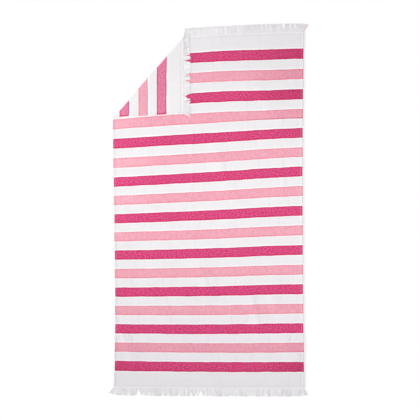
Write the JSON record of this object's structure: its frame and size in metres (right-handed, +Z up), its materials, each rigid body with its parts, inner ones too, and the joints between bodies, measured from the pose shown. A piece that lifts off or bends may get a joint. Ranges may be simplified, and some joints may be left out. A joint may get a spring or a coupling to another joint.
{
  "type": "beach towel",
  "caption": "Striped beach towel lying face up with one top corner folded over and a combed yarn fringe at both ends.",
  "frame": {"origin": "on the surface under the towel's centre, midway between its long sides", "axes": "+Z up out of the towel's face, +Y along it towards the folded end, +X towards the right long side seen from above"},
  "size_m": [0.9357, 1.7687, 0.0084],
  "materials": {
    "towel_cotton": "low-pile cotton with woven stripes in strong pink, light pink and white, matt",
    "fringe_yarn": "loose white cotton yarn, matt"
  },
  "bodies": {
    "root": {"towel_cloth": "towel_cotton", "fringe_bottom": "fringe_yarn", "fringe_top": "fringe_yarn", "fringe_flap": "fringe_yarn"}
  },
  "joints": []
}
